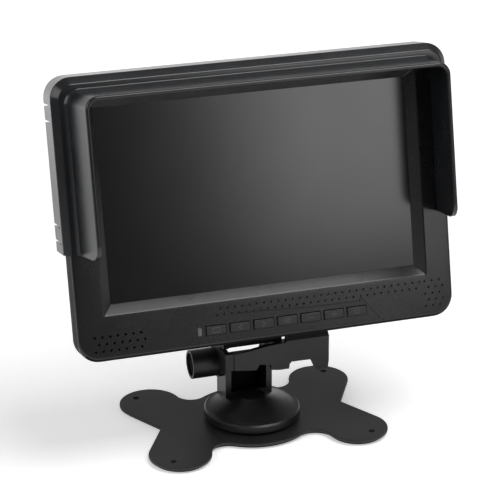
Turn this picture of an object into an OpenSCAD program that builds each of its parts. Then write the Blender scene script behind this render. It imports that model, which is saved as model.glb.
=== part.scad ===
// Camera field monitor with a clip-on sun hood, on a tilting and swivelling table stand.
// Millimetres. X to the right, -Y towards the viewer, +Z up.
// The origin is on the swivel axis, on the surface that the stand rests on.

/* [Stand base] */
// Thickness of the foam pad under the base plate
foam_t = 1.5; // [0.8:0.1:3]
// Thickness of the base plate
plate_t = 1.5; // [1:0.1:3]
// Radius of the plate's round middle
plate_mid_r = 32; // [28:0.5:34]
// Radius of each of the plate's four lobes
lobe_r = 15.5; // [12:0.5:17]
// Distance of a lobe's centre from the middle, left to right
lobe_x = 45.5; // [42:0.5:50]
// Distance of a lobe's centre from the middle, front to back
lobe_y = 28.5; // [26:0.5:32]
// Distance of the notch between two lobes from the middle
notch_x = 47.5; // [40:0.5:50]
// Radius of the hollow curve between a lobe and the middle
bay_r = 8; // [7:0.5:12]
// Spacing of the screw holes, left to right
hole_dx = 101.8; // [90:0.1:108]
// Spacing of the screw holes, front to back
hole_dy = 71.2; // [62:0.1:76]
// Radius of the screw holes in the plate
hole_r = 1.6; // [1:0.1:2.5]
// How far the foam pad stays inside the plate's edge
foam_inset = 2; // [0.5:0.5:4]
// Height of the pressed boss in the plate's middle
boss_h = 2.5; // [1.5:0.1:4]
// Radius of the pressed boss
boss_r = 12; // [10:0.5:15]

/* [Pedestal] */
// Radius of the pedestal's round foot
foot_r = 24.1; // [20:0.1:28]
// Height of the foot's upright rim
foot_rim_h = 4.5; // [3:0.1:7]
// Gap between the foot's rim and the plate
foot_gap = 1; // [0.5:0.1:2]
// Height of the foot's hollow slope above the rim
foot_slope_h = 5.8; // [3:0.1:6.2]
// Radius of the foot's flat top, where the slope ends
foot_top_r = 6; // [5:0.1:9]
// Wall of the foot and of the post's ears
foot_wall = 3; // [2:0.1:4]
// Width of the post
post_w = 24.4; // [20:0.2:28]
// Depth of the post, front to back
post_d = 15; // [13:0.5:17]
// Distance of the tilt axis behind the swivel axis
tilt_back = 12.5; // [11:0.5:14]
// Height of the tilt axis above the plate
tilt_h = 26.2; // [24:0.1:30]
// Radius of the post's rounded top about the tilt axis
post_top_r = 5.5; // [5:0.1:6]

/* [Fasteners] */
// Radius of the cross bolt
bolt_r = 2.5; // [2:0.1:3]
// Width of the bolt's hexagon head across its flats
hex_af = 8; // [7:0.5:9]
// Thickness of the hexagon head
hex_h = 3.5; // [2.5:0.1:4.5]
// Radius of the swivel screw's plain shank
pivot_r = 2.5; // [2:0.1:3]
// Radius of the swivel screw's thread
thread_r = 2; // [1.5:0.1:2.5]
// Radius of the swivel washer
washer_r = 7; // [5:0.5:9]
// Thickness of the swivel washer
washer_t = 0.5; // [0.3:0.1:1]
// Radial clearance of a shaft that turns in its hole
run_gap = 0.05; // [0.02:0.01:0.08]
// Radius of the housing screws
screw_r = 1.5; // [1:0.1:2]

/* [Tilt fork] */
// Gap between a fork cheek and the post
cheek_gap = 0.3; // [0.1:0.1:0.6]
// Thickness of a fork cheek
cheek_t = 2.7; // [2:0.1:4]
// Radius of the cheek about the tilt axis
cheek_r = 8; // [7:0.1:9]
// Distance of the fork's front edge ahead of the swivel axis
fork_front = 5; // [3:0.5:7]
// Height of the cheek's front arm
cheek_arm_h = 9.2; // [7:0.1:10]
// Width of the lip that turns in at the left cheek's front edge
lip_w = 4.3; // [3.5:0.1:6]
// Radius of the boss that holds the bolt's head
head_boss_r = 7.3; // [6.5:0.1:8]
// Length of the boss that holds the bolt's head
head_boss_l = 13.3; // [11:0.1:16]
// Wall of that boss round its opening
head_wall = 1.4; // [1:0.1:2]
// Thickness of the tongue's back plate
tongue_t = 4.3; // [3:0.1:5]
// Width of the tongue's back plate
tongue_w = 20; // [18:0.5:24]
// Width of the tongue's rail
rail_w = 17; // [15:0.5:19]
// Thickness of the tongue's rail
rail_t = 2.4; // [2:0.1:3]
// Width of the neck that carries the rail
neck_w = 11; // [9:0.5:13]
// Length of the rail inside the monitor's slot
rail_l = 34; // [28:1:40]
// How far the fork's web hangs below the monitor's slot
web_drop = 17.6; // [15:0.1:19]

/* [Clamp lever] */
// Thickness of the lever's front plate
lever_t = 2.5; // [2:0.1:3]
// Height of the lever's front plate
lever_h = 13.2; // [12:0.1:14]
// Distance of the lever's free end to the right of the swivel axis
lever_right = 39; // [36:0.5:46]
// Radius of the lever's hub
hub_r = 6.5; // [6:0.1:7.5]
// Length of the lever's hub
hub_l = 8.2; // [7:0.1:10]
// Radius of the brass insert in the hub
insert_r = 4; // [3.5:0.1:4.5]
// Width of the arm between the hub and the front plate
lever_arm_w = 3; // [2.5:0.1:5]

/* [Monitor housing] */
// Width of the housing's front beside the screen
rim_side = 17.7; // [16:0.1:24]
// Width of the housing's front above the screen
rim_top = 12.5; // [11:0.1:18]
// Width of the housing's front below the screen
rim_bottom = 26.2; // [25:0.1:32]
// Depth of the housing
body_d = 33; // [31:0.5:38]
// Radius of the housing's outer corners
body_r = 10; // [6:0.5:14]
// Depth of the front bezel's side wall
bezel_d = 8; // [7.5:0.5:10]
// Depth at which the rear cover starts to taper
side_d = 12; // [11:0.5:14]
// Wall thickness of the housing
wall = 2.2; // [1.8:0.1:3]
// How far the rear cover draws in at its sides
draw_side = 12; // [10:0.5:20]
// How far the rear cover draws in at its top
draw_top = 10; // [8:0.5:16]
// How far the rear cover draws in at its bottom
draw_bottom = 8; // [6:0.5:9]
// Height of the housing's lower front edge above the base plate
body_lift = 55.8; // [54:0.1:64]
// Distance of the bezel's front ahead of the swivel axis, at the screen's centre
screen_front = 16; // [14:0.5:18]
// Angle that the screen leans back at rest
lean = 13; // [11:0.5:14]
// Width of the indicator light's window
led_w = 2; // [1.5:0.1:3]
// Distance of the indicator light to the left of the first button
led_off = 8.1; // [7:0.1:10]
// Width of the moulded line above the buttons
line_w = 0.6; // [0.3:0.1:1]
// Depth of the moulded line
line_d = 0.3; // [0.1:0.1:0.6]
// Width of a vent slot in the rear cover
vent_w = 1.8; // [1.2:0.1:2.5]
// Length of a vent slot
vent_l = 13.8; // [8:0.1:18]
// Distance from one vent slot to the next
vent_pitch = 5; // [4:0.5:6]

/* [Speaker and sockets] */
// Width of the loudspeaker
speaker_w = 28; // [24:0.5:30]
// Height of the loudspeaker
speaker_h = 12.6; // [11:0.1:14]
// Depth of the loudspeaker's case
speaker_t = 4; // [3:0.1:5]
// Distance from one loudspeaker hole to the next
hole_pitch = 3.7; // [3:0.1:4.2]
// Radius of a loudspeaker hole
grille_r = 0.6; // [0.4:0.1:0.8]
// Radius of the power jack's case
jack_r = 5.4; // [4.5:0.1:6]
// Radius of the power jack's bore
jack_bore_r = 2.8; // [2.4:0.1:3.2]
// Radius of the round picture and sound sockets
av_r = 4.4; // [3.5:0.1:5]
// Radius of the bore of the round sockets
av_bore_r = 1.8; // [1.6:0.05:2]
// Depth of the bore of the round sockets
av_bore_d = 11; // [9:0.5:12]
// Distance between the two round sockets
av_pitch = 16; // [12:0.5:20]
// Width of the main board
board_w = 120; // [100:1:130]
// Height of the main board
board_h = 66; // [50:1:70]
// Thickness of the boards
board_t = 1.6; // [1:0.1:2]

/* [Screen] */
// Width of the visible screen
lcd_w = 152.6; // [140:0.1:154]
// Height of the visible screen
lcd_h = 92.3; // [80:0.1:94]
// Depth of the screen behind the bezel's front
lcd_deep = 4.6; // [3:0.1:5.5]
// Width of the sloping edge round the screen
slope_w = 4.5; // [3:0.1:5]
// Thickness of the screen's front glass
glass_t = 0.8; // [0.5:0.1:1.2]
// Thickness of the display module
module_t = 5.7; // [4:0.1:7]
// How far the display module reaches past the visible screen on each side
module_rim = 5.8; // [4:0.1:6.5]

/* [Buttons] */
// Width of a button
button_w = 9.8; // [8:0.1:10.5]
// Height of a button
button_h = 4.2; // [3:0.1:5]
// Distance from one button to the next
button_pitch = 11.84; // [11.5:0.01:12]
// Place of the first button's middle, from the housing's middle
button_x0 = -27.3; // [-30:0.1:-25]
// Height of the buttons' middle above the housing's bottom
button_up = 8.3; // [7:0.1:10]
// How far a button stands out of the bezel
button_proud = 0.6; // [0.2:0.1:1]
// How far a button travels
button_travel = 0.6; // [0.3:0.1:0.8]
// Clearance round a button in its opening
button_gap = 0.25; // [0.15:0.05:0.4]

/* [Sun hood] */
// Wall thickness of the hood's skirt
skirt_t = 2.6; // [1.5:0.1:3.6]
// Clearance between the hood and the housing
hood_gap = 0.4; // [0.3:0.1:0.8]
// Depth of the hood's skirt behind the bezel's front
skirt_d = 16.6; // [12:0.1:20]
// Thickness of the hood's flange in front of the bezel
flange_t = 2; // [1.5:0.1:3]
// Width of the chamfer round the hood's front
hood_cham = 3.4; // [2:0.1:4]
// Radius of the hood's upper corners
hood_r = 10; // [8:0.5:14]
// How far the hood's sides reach below the screen's centre
hood_low = 20; // [15:0.5:26]
// How far the visor stands in front of the flange
visor_l = 27; // [20:0.5:32]
// Distance of the visor's foot inside the hood's outer edge
visor_in = 6.8; // [6:0.1:8]
// How far the visor's sides lean in at the rim
visor_lean = 3; // [1:0.1:4]
// Wall thickness of the visor
visor_t = 2.1; // [1.5:0.1:2.5]
// Size of the chamfer at the visor's foot
foot_cham = 1.6; // [0.8:0.1:2]
// Radius of the visor's lower front corners
visor_tip_r = 9; // [5:0.5:12]
// Width of a clip finger in the skirt
finger_w = 7.6; // [6:0.1:10]
// Width of the slits beside a clip finger
slit_w = 1.1; // [0.8:0.1:2]
// Length of the slits beside a clip finger
slit_l = 13; // [8:0.5:14]
// Distance of the upper fingers below the hood's top
finger_drop = 16.6; // [15:0.1:30]
// Distance of the lower fingers below the screen's centre
finger_low = 11; // [5:0.5:13]

/* [Hidden] */
$fn = 64;
eps = 0.01;
button_n = 7;

// Seat of one piece on another where both are flat
seat = 0.05;

plate_z = foam_t;
plate_top = foam_t + plate_t;
boss_top = plate_top + boss_h;
foot_z = plate_top + foot_gap;
foot_rim_top = foot_z + foot_rim_h;
foot_top = foot_rim_top + foot_slope_h;
tilt_y = tilt_back;
tilt_z = plate_top + tilt_h;
post_front = tilt_y - post_d / 2;
post_rear = tilt_y + post_d / 2;

cheek_in = post_w / 2 + cheek_gap;
cheek_out = cheek_in + cheek_t;
cheek_arm_z = tilt_z + 1.8;
fork_y = -fork_front;

body_w = lcd_w + 2 * rim_side;
body_h = lcd_h + rim_top + rim_bottom;
screen_up = lcd_h / 2 + rim_bottom;
screen_h = body_lift + screen_up * cos(lean);
hood_w = body_w + 2 * (hood_gap + skirt_t);

// Places in the monitor's own frame: x right, y up in the screen, z out of the screen
body_bottom = -screen_up;
body_top = body_h - screen_up;
back_w = body_w - 2 * draw_side;
back_top = body_top - draw_top;
back_bottom = body_bottom + draw_bottom;
back_r = body_r + 2;
glass_z = -lcd_deep - seat;
module_z = glass_z - glass_t - seat;
module_w = lcd_w + 2 * module_rim;
module_h = lcd_h + 2 * module_rim;
button_y = body_bottom + button_up;

// The slot in the rear cover and the rail that fills it
slot_gap = 0.3;
slot_lip = 2;
rail_top = back_bottom + rail_l;
slot_front = -body_d + slot_lip + rail_t + 2 * slot_gap;
slot_wall = 2;
web_bottom = back_bottom - web_drop;

hood_top = body_top + hood_gap + skirt_t;
flange_z = hood_gap;
flange_front = flange_z + flange_t;
visor_top = hood_top - visor_in;
visor_half = hood_w / 2 - visor_in;
rim_z = flange_front + visor_l;

lever_left = -cheek_out + lip_w + 0.3;
hub_x = cheek_out + seat;

// Boards and sockets behind the display, and the sockets' row near the board's lower edge
board_z = -20.6;
board_y = 6;
board_pin = 5;
socket_y = board_y - board_h / 2 + 8;
jack_x = -board_w / 2 + 16;
hdmi_x = -board_w / 2 + 32;
av_xs = [board_w / 2 - 14 - av_pitch, board_w / 2 - 14];

// The loudspeaker is behind the lower left corner of the front
speaker_x = -lcd_w / 2 + 2.3;
speaker_up = button_y + 0.3;

// The housing screws stand in the corners, beside the display module
screw_x = module_w / 2 + 4.5;
screw_ys = [module_h / 2 - 1.95, -module_h / 2 + 1.95];
screw_seat = -16.4;

// Floor of the recess in the fork's boss that holds the bolt's head
head_floor = -cheek_out - head_boss_l + 2 + hex_h;

module plane_yz(x0, x1) {
    translate([x0, 0, 0]) rotate([90, 0, 90]) linear_extrude(x1 - x0) children();
}

module along_x(x0, x1, r) {
    translate([x0, tilt_y, tilt_z]) rotate([0, 90, 0]) cylinder(h = x1 - x0, r = r);
}

module on_monitor() {
    translate([0, -screen_front, plate_top + screen_h]) rotate([90 - lean, 0, 0]) children();
}

module slab(z0, z1) {
    translate([0, 0, z0]) linear_extrude(z1 - z0) children();
}

module block(x0, x1, y0, y1, z0, z1) {
    translate([x0, y0, z0]) cube([x1 - x0, y1 - y0, z1 - z0]);
}

module rounded(w, y0, y1, r) {
    translate([-w / 2 + r, y0]) square([w - 2 * r, y1 - y0]);
    translate([-w / 2, y0 + r]) square([w, y1 - y0 - 2 * r]);
    for (sx = [-1, 1]) {
        for (y = [y0 + r, y1 - r]) {
            translate([sx * (w / 2 - r), y]) circle(r = r);
        }
    }
}

module round_topped(w, y0, y1, r) {
    translate([-w / 2, y0]) square([w, y1 - y0 - r]);
    translate([-w / 2 + r, y0]) square([w - 2 * r, y1 - y0]);
    for (sx = [-1, 1]) {
        translate([sx * (w / 2 - r), y1 - r]) circle(r = r);
    }
}

// Outline of the base: a round middle, four lobes, straight edges to the notches
// and a hollow arc that is tangent to the middle and to the lobe.
module base_outline() {
    far = norm([lobe_x, lobe_y]);
    along = ((plate_mid_r + bay_r) ^ 2 - (lobe_r + bay_r) ^ 2 + far ^ 2) / (2 * far);
    side = sqrt((plate_mid_r + bay_r) ^ 2 - along ^ 2);
    to_lobe = [lobe_x, lobe_y] / far;
    bay = along * to_lobe + side * [-to_lobe[1], to_lobe[0]];
    n_far = norm([lobe_x - notch_x, lobe_y]);
    n_ang = atan2(lobe_y, lobe_x - notch_x) - asin(lobe_r / n_far);
    n_len = sqrt(n_far ^ 2 - lobe_r ^ 2);
    touch = [notch_x + n_len * cos(n_ang), n_len * sin(n_ang)];
    circle(r = plate_mid_r + 0.03);
    for (sx = [-1, 1]) {
        for (sy = [-1, 1]) {
            scale([sx, sy]) {
                translate([lobe_x, lobe_y]) circle(r = lobe_r);
                polygon([[0, 0], [notch_x, 0], touch, [lobe_x, lobe_y]]);
                difference() {
                    polygon([[0, 0], bay, [lobe_x, lobe_y]]);
                    translate(bay) circle(r = bay_r);
                }
            }
        }
    }
}

module at_base_holes() {
    for (sx = [-1, 1]) {
        for (sy = [-1, 1]) {
            translate([sx * hole_dx / 2, sy * hole_dy / 2, 0]) children();
        }
    }
}

// Stamped steel plate with a pressed boss that the pedestal turns on
module base_plate() {
    color([0.16, 0.16, 0.17]) difference() {
        union() {
            translate([0, 0, plate_z]) linear_extrude(plate_t) base_outline();
            translate([0, 0, plate_z]) cylinder(h = boss_top - plate_z, r = boss_r);
        }
        translate([0, 0, plate_z - eps]) cylinder(h = boss_h + eps, r = boss_r - plate_t);
        cylinder(h = boss_top + 1, r = pivot_r + run_gap);
        at_base_holes() cylinder(h = plate_top + 1, r = hole_r);
    }
}

// Foam pad under the plate, with clear holes for the plate's screws
module base_pad() {
    color([0.1, 0.1, 0.1]) difference() {
        linear_extrude(foam_t) offset(delta = -foam_inset) base_outline();
        at_base_holes() translate([0, 0, -1]) cylinder(h = foam_t + 2, r = hole_r + 1);
    }
}

// Foot with an upright rim and a slightly hollow cone, turned about the swivel axis
module foot_shape() {
    slope_out = foot_r - 1.6;
    rotate_extrude() polygon(concat(
        [[0, foot_z], [foot_r - 0.6, foot_z], [foot_r, foot_z + 0.6]],
        [[foot_r, foot_rim_top - 0.8], [foot_r - 0.8, foot_rim_top]],
        [for (i = [0:8]) let (t = i / 8)
            [slope_out + t * (foot_top_r - slope_out), foot_rim_top + foot_slope_h * t ^ 1.15]],
        [[0, foot_top]]));
}

module post_side() {
    shoulder = tilt_z - 4.2;
    top_w = post_top_r - 0.5;
    polygon([[post_front, foot_rim_top - 1], [post_rear, foot_rim_top - 1], [post_rear, shoulder],
        [tilt_y + top_w, tilt_z + 2.4], [tilt_y - top_w, tilt_z + 2.4], [post_front, shoulder]]);
    translate([tilt_y, tilt_z]) circle(r = post_top_r);
}

// Moulded pedestal: hollow foot, and a post whose two ears carry the cross bolt
module pedestal() {
    ear_in = post_w / 2 - foot_wall;
    back = post_rear - foot_wall - 1;
    hollow_r = foot_r - foot_wall;
    color([0.2, 0.2, 0.2]) difference() {
        union() {
            foot_shape();
            plane_yz(-post_w / 2, post_w / 2) post_side();
        }
        translate([0, 0, foot_z - 1]) cylinder(h = boss_top + seat - foot_z + 1, r = hollow_r);
        translate([0, 0, boss_top]) rotate_extrude() {
            translate([boss_r + 2, 0]) square([hollow_r - boss_r - 2, foot_rim_top - boss_top - 1.2]);
        }
        block(-ear_in, ear_in, post_front - 1, back, foot_top, tilt_z + 10);
        block(-ear_in, ear_in, post_front + 1.5, back, foot_rim_top + 1.2, foot_top + 1);
        along_x(-post_w, post_w, bolt_r + run_gap);
        translate([0, 0, foot_z]) cylinder(h = foot_top - foot_z - 1.5, r = thread_r + 0.02);
    }
}

// Shouldered screw, driven up from below into the pedestal
module swivel_screw() {
    head_top = plate_z + boss_h - seat - washer_t;
    color([0.6, 0.6, 0.62]) difference() {
        union() {
            translate([0, 0, plate_z + 0.3]) cylinder(h = head_top - plate_z - 0.3, r = washer_r - 2);
            translate([0, 0, head_top - eps]) cylinder(h = boss_top - head_top + eps, r = pivot_r);
            translate([0, 0, boss_top - eps]) cylinder(h = foot_top - boss_top - 2.5, r = thread_r);
        }
        translate([0, 0, plate_z - 0.2]) for (a = [0, 90]) {
            rotate(a) translate([-2.5, -0.5, 0]) cube([5, 1, 1.2]);
        }
    }
}

module swivel_washer() {
    color([0.7, 0.7, 0.72]) translate([0, 0, plate_z + boss_h - seat - washer_t]) difference() {
        cylinder(h = washer_t, r = washer_r);
        translate([0, 0, -1]) cylinder(h = washer_t + 2, r = pivot_r + 0.15);
    }
}

// Height and depth in the row's frame of a point on the monitor's middle plane
function row_yz(y, z) = [-screen_front + y * sin(lean) - z * cos(lean),
    plate_top + screen_h + y * cos(lean) + z * sin(lean)];

// The web behind the monitor, seen from its side
module web_side(inset) {
    front = -body_d - slot_gap - inset;
    rear = -body_d - slot_gap - tongue_t + inset;
    low = web_bottom + inset;
    high = back_bottom - inset;
    polygon([row_yz(low, front), row_yz(low, rear), row_yz(high, rear), row_yz(high, front)]);
}

// One cheek, seen from its side, with an arm that reaches forwards to y = front
module cheek_side(front) {
    web_back = -body_d - slot_gap - tongue_t;
    riser_y = tilt_y - 1;
    arm_top = cheek_arm_z + cheek_arm_h;
    translate([tilt_y, tilt_z]) circle(r = cheek_r);
    polygon([[front, cheek_arm_z], [tilt_y, tilt_z - cheek_r + 0.5], [tilt_y, tilt_z + cheek_r - 0.3],
        [fork_y + 6, arm_top], [front, arm_top]]);
    polygon([[riser_y, tilt_z], row_yz(web_bottom + 2.5, web_back + 1),
        row_yz(back_bottom + 3, web_back + 1),
        [tilt_y + cheek_r - 0.6, tilt_z + 14], [tilt_y + cheek_r, tilt_z]]);
    web_side(0);
}

// Fork: two cheeks, a boss for the bolt's head, a web and the tongue that carries the monitor
module tilt_fork() {
    back = -body_d - slot_gap;
    neck = back + slot_lip + 2 * slot_gap;
    color([0.22, 0.22, 0.23]) difference() {
        union() {
            plane_yz(-cheek_out, -cheek_in) cheek_side(fork_y);
            plane_yz(cheek_in, cheek_out) cheek_side(fork_y + lever_t + 0.6);
            along_x(-cheek_out - head_boss_l, -cheek_out + eps, head_boss_r);
            block(-cheek_out, -cheek_out + lip_w, fork_y, fork_y + 2.6,
                cheek_arm_z, cheek_arm_z + cheek_arm_h);
            plane_yz(-cheek_out + 0.6, cheek_out - 0.6) web_side(0.3);
            on_monitor() {
                block(-tongue_w / 2, tongue_w / 2, web_bottom + 4, rail_top, back - tongue_t + 0.4, back);
                block(-neck_w / 2, neck_w / 2, back_bottom + 1, rail_top, back - eps, neck + eps);
                block(-rail_w / 2, rail_w / 2, back_bottom + 1, rail_top, neck, neck + rail_t);
            }
        }
        translate([head_floor - hex_h - 3, tilt_y, tilt_z]) rotate([0, 90, 0]) {
            rotate(30) cylinder(h = hex_h + 3, r = (hex_af / 2 + 0.1) / cos(30), $fn = 6);
        }
        along_x(-cheek_out - head_boss_l - 1, head_floor - hex_h - 0.4, head_boss_r - head_wall);
        along_x(-cheek_out - head_boss_l, cheek_out + 1, bolt_r + run_gap);
    }
}

// Hexagon bolt that clamps the fork on the post
module cross_bolt() {
    color([0.55, 0.55, 0.57]) {
        translate([head_floor - seat - hex_h, tilt_y, tilt_z]) rotate([0, 90, 0]) {
            rotate(30) cylinder(h = hex_h, r = hex_af / 2 / cos(30), $fn = 6);
        }
        along_x(head_floor - 0.5, hub_x + hub_l - 1.6, bolt_r);
    }
}

// Outline of the lever's front plate, seen from the front: it rises to the right, with a
// notch and a catch at the cheek and a thumb tab at its free end. Its steps grow with its height.
module lever_front() {
    u = lever_h / 13.2;
    low = tilt_z - 1.4 * u;
    top = low + lever_h;
    x0 = lever_left;
    x1 = cheek_out;
    x2 = lever_right;
    polygon(concat(
        [for (i = [0:6]) let (t = i / 6)
            [x0 + t * (x1 - x0 - 3 * u), top - 1.2 * u + 1.25 * u * (1 - cos(180 * t))]],
        [[x1 + 0.8 * u, top + 1.4 * u], [x1 + 1.4 * u, top + 5.4 * u]],
        [[x2 - u, top + 5.4 * u], [x2, top + 4.4 * u], [x2, low + 1.8 * u], [x2 - 0.4 * u, low - 2.2 * u]],
        [[x2 - 6.8 * u, low - 2.6 * u], [x2 - 9 * u, low + 2.4 * u], [x2 - 10 * u, low + 3.7 * u]],
        [[x1 + 3.3 * u, low + 3.8 * u], [x1 + 2.8 * u, low + 0.2 * u], [x1 - 2 * u, low + 0.2 * u]],
        [[x1 - 6.4 * u, low + 0.8 * u], [x1 - 6.9 * u, low + 3.7 * u], [x1 - 12.6 * u, low + 4.6 * u]],
        [[x1 - 14.3 * u, low + 1.8 * u], [x0, low + 3.2 * u]]));
}

// Clamp lever: a hub that turns on the bolt, an arm and the front plate
module clamp_lever() {
    color([0.24, 0.24, 0.25]) difference() {
        union() {
            along_x(hub_x, hub_x + hub_l, hub_r);
            plane_yz(hub_x, hub_x + lever_arm_w) polygon([[fork_y + 1, tilt_z - 1],
                [tilt_y, tilt_z - hub_r + 0.2], [tilt_y, tilt_z + hub_r - 0.2],
                [fork_y + 1, tilt_z + lever_h - 1.2]]);
            translate([0, fork_y + lever_t, 0]) rotate([90, 0, 0]) linear_extrude(lever_t) lever_front();
        }
        along_x(hub_x - 1, hub_x + hub_l - 1.2, insert_r);
    }
}

// Threaded brass insert, moulded into the lever's hub
module lever_insert() {
    color([0.75, 0.62, 0.3]) difference() {
        along_x(hub_x + 0.2, hub_x + hub_l - 1.2, insert_r);
        along_x(hub_x - 1, hub_x + hub_l, bolt_r + run_gap);
    }
}

module screen_slope() {
    hull() {
        slab(0, 1) square([lcd_w + 2 * slope_w, lcd_h + 2 * slope_w], center = true);
        slab(-lcd_deep - eps, -lcd_deep) square([lcd_w, lcd_h], center = true);
    }
}

module button_opening(i, grow = 0) {
    x = button_x0 + i * button_pitch;
    translate([x, button_y]) square([button_w + 2 * grow, button_h + 2 * grow], center = true);
}

module led_outline(grow = 0) {
    x = button_x0 - led_off;
    translate([x - led_w / 2 - grow, button_y - 1.1]) square([led_w + 2 * grow, 2.2]);
    for (s = [-1, 1]) {
        translate([x, button_y + s * 1.1]) circle(r = led_w / 2 + grow);
    }
}

// Shallow moulded line above the buttons, which turns down to the lower edge beside the last one
module field_line() {
    x_last = button_x0 + (button_n - 1) * button_pitch;
    points = [[button_x0 + 9.7, button_y + 6.6], [button_x0 + 23.3, button_y + 6.6],
        [x_last - 25, button_y + 5.2], [x_last + 1.5, button_y + 4.9],
        [x_last + 2.6, button_y + 6.1], [x_last + 11.2, button_y - 4.8]];
    slab(-line_d, 1) for (i = [0:len(points) - 2]) {
        step = points[i + 1] - points[i];
        translate(points[i]) rotate(atan2(step[1], step[0])) {
            translate([0, -line_w / 2]) square([norm(step) + line_w / 3, line_w]);
        }
    }
}

// Three rows of round holes, each shifted by half a step from the next
module speaker_holes() {
    for (row = [-1:1]) {
        for (i = [-3:3]) {
            x = speaker_x + hole_pitch * (i + (row == 0 ? 0.25 : -0.25));
            translate([x, speaker_up - 0.92 * hole_pitch * row, -wall - 1]) {
                cylinder(h = wall + 2, r = grille_r);
            }
        }
    }
}

// Front half of the housing, with the sloping edge round the screen
module front_bezel() {
    color([0.15, 0.15, 0.16]) on_monitor() difference() {
        union() {
            difference() {
                slab(-bezel_d, -0.8) rounded(body_w, body_bottom, body_top, body_r);
                slab(-bezel_d - 1, -wall) {
                    rounded(body_w - 2 * wall, body_bottom + wall, body_top - wall, body_r - wall);
                }
            }
            slab(-0.8 - eps, 0) rounded(body_w - 1, body_bottom + 0.5, body_top - 0.5, body_r - 0.5);
            slab(-lcd_deep, -wall + eps) {
                square([lcd_w + 2 * slope_w, lcd_h + 2 * slope_w], center = true);
            }
            for (sx = [-1, 1]) {
                for (y = screw_ys) {
                    translate([sx * screw_x, y, -bezel_d]) cylinder(h = bezel_d - wall + eps, r = 3.4);
                }
            }
        }
        screen_slope();
        slab(-lcd_deep - 1, 1) square([lcd_w, lcd_h], center = true);
        slab(-wall - 1, 1) {
            for (i = [0:button_n - 1]) {
                button_opening(i, button_gap);
            }
            led_outline(0.1);
        }
        speaker_holes();
        field_line();
        for (sx = [-1, 1]) {
            for (y = screw_ys) {
                translate([sx * screw_x, y, -bezel_d - 1]) cylinder(h = bezel_d - 0.6, r = screw_r + 0.02);
            }
        }
    }
}

module cover_shape(shrink) {
    hull() {
        slab(-side_d, -bezel_d) {
            rounded(body_w - 2 * shrink, body_bottom + shrink, body_top - shrink, body_r - shrink);
        }
        slab(-body_d + shrink, -body_d + shrink + eps) {
            rounded(back_w - 2 * shrink, back_bottom + shrink, back_top - shrink, back_r - shrink);
        }
    }
}

module back_vents() {
    straight = vent_l - vent_w;
    for (sx = [-1, 1]) {
        for (i = [0:8]) {
            x = sx * (tongue_w / 2 + 12 + vent_pitch * i);
            translate([x, back_top / 2, -body_d - 1]) linear_extrude(wall + 1.5) {
                square([vent_w, straight], center = true);
                for (s = [-1, 1]) {
                    translate([0, s * straight / 2]) circle(r = vent_w / 2);
                }
            }
        }
    }
}

// The main board stands on four posts of the rear cover
module at_board_pins(z) {
    for (sx = [-1, 1]) {
        for (sy = [-1, 1]) {
            x = sx * (board_w / 2 - board_pin);
            translate([x, board_y + sy * (board_h / 2 - board_pin), z]) children();
        }
    }
}

// Rear half of the housing, with the slot that the tongue slides into from below
module rear_cover() {
    slot_half = rail_w / 2 + slot_gap;
    neck_half = neck_w / 2 + slot_gap;
    slot_low = body_bottom - 1;
    color([0.15, 0.15, 0.16]) on_monitor() difference() {
        union() {
            difference() {
                cover_shape(0);
                difference() {
                    cover_shape(wall);
                    block(-slot_half - slot_wall, slot_half + slot_wall,
                        body_bottom, rail_top + slot_gap + slot_wall, -body_d, slot_front + slot_wall);
                }
                slab(-bezel_d - 1, 0) {
                    rounded(body_w - 2 * wall, body_bottom + wall, body_top - wall, body_r - wall);
                }
            }
            intersection() {
                cover_shape(0.2);
                for (sx = [-1, 1]) {
                    for (y = screw_ys) {
                        translate([sx * screw_x, y, -body_d]) {
                            cylinder(h = body_d - bezel_d - seat, r = 4.4);
                        }
                    }
                }
            }
            at_board_pins(-body_d + wall - eps) cylinder(h = body_d - wall + board_z - seat, r = 3);
        }
        block(-slot_half, slot_half, slot_low, rail_top + slot_gap, -body_d + slot_lip, slot_front);
        block(-neck_half, neck_half, slot_low, rail_top + slot_gap, -body_d - 1, -body_d + slot_lip + eps);
        back_vents();
        for (sx = [-1, 1]) {
            for (y = screw_ys) {
                translate([sx * screw_x, y, -body_d - 1]) cylinder(h = body_d, r = screw_r + 0.2);
                translate([sx * screw_x, y, -body_d - 1]) cylinder(h = body_d + 1 + screw_seat, r = 3.2);
            }
        }
        socket_holes();
    }
}

// The sockets stand on the main board and show through the rear cover
module socket_holes() {
    translate([jack_x, socket_y, -body_d - 1]) cylinder(h = wall + 2, r = jack_r + 0.2);
    block(hdmi_x - 8.2, hdmi_x + 8.2, socket_y - 3.8, socket_y + 3.8, -body_d - 1, -body_d + wall + 1);
    for (x = av_xs) {
        translate([x, socket_y, -body_d - 1]) cylinder(h = wall + 2, r = av_r + 0.2);
    }
}

module screen_glass() {
    color([0.05, 0.05, 0.06]) on_monitor() slab(glass_z - glass_t, glass_z) {
        rounded(lcd_w + 4, -lcd_h / 2 - 2, lcd_h / 2 + 2, 1);
    }
}

// Display module: a pressed metal frame round the panel, with lugs for its screws
module display_module() {
    color([0.55, 0.56, 0.58]) on_monitor() {
        slab(module_z - module_t, module_z) rounded(module_w, -module_h / 2, module_h / 2, 1.5);
        for (sx = [-1, 1]) {
            for (sy = [-1, 1]) {
                y = sy * (module_h / 2 - 12);
                block(sx * module_w / 2 - 3, sx * module_w / 2 + 3, y - 4, y + 4,
                    module_z - module_t, module_z - module_t + 1);
            }
        }
    }
}

// A chip on the main board: its middle and size are shares of the board's
module chip(x, y, w, h) {
    translate([x * board_w, board_y + y * board_h, board_z + board_t - eps]) {
        linear_extrude(0.8 * board_t) square([w * board_w, h * board_h], center = true);
    }
}

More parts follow.
